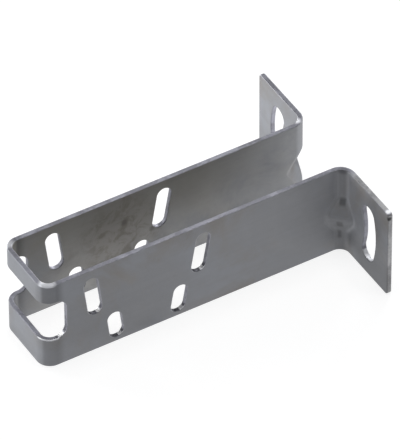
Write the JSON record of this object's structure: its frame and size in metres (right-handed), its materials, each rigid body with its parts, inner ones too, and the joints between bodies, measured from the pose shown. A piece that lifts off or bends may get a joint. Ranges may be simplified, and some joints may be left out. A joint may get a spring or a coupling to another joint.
{
  "type": "mounting bracket",
  "caption": "Hat-shaped bracket folded from steel strip, with slotted side walls, an open nose and two ears with curved bolt slots.",
  "frame": {"origin": "centre of the circle that both curved ear slots lie on, in the plane of the ears' back faces, halfway up the strip", "axes": "+X out from the surface that the ears are bolted to, towards the nose; +Y across the channel; +Z across the strip, up as it lies on its long edges"},
  "size_m": [0.13, 0.091, 0.04],
  "materials": {
    "steel": "dull mill finish with fine blotches"
  },
  "bodies": {
    "root": {"bracket": "steel"}
  },
  "joints": []
}
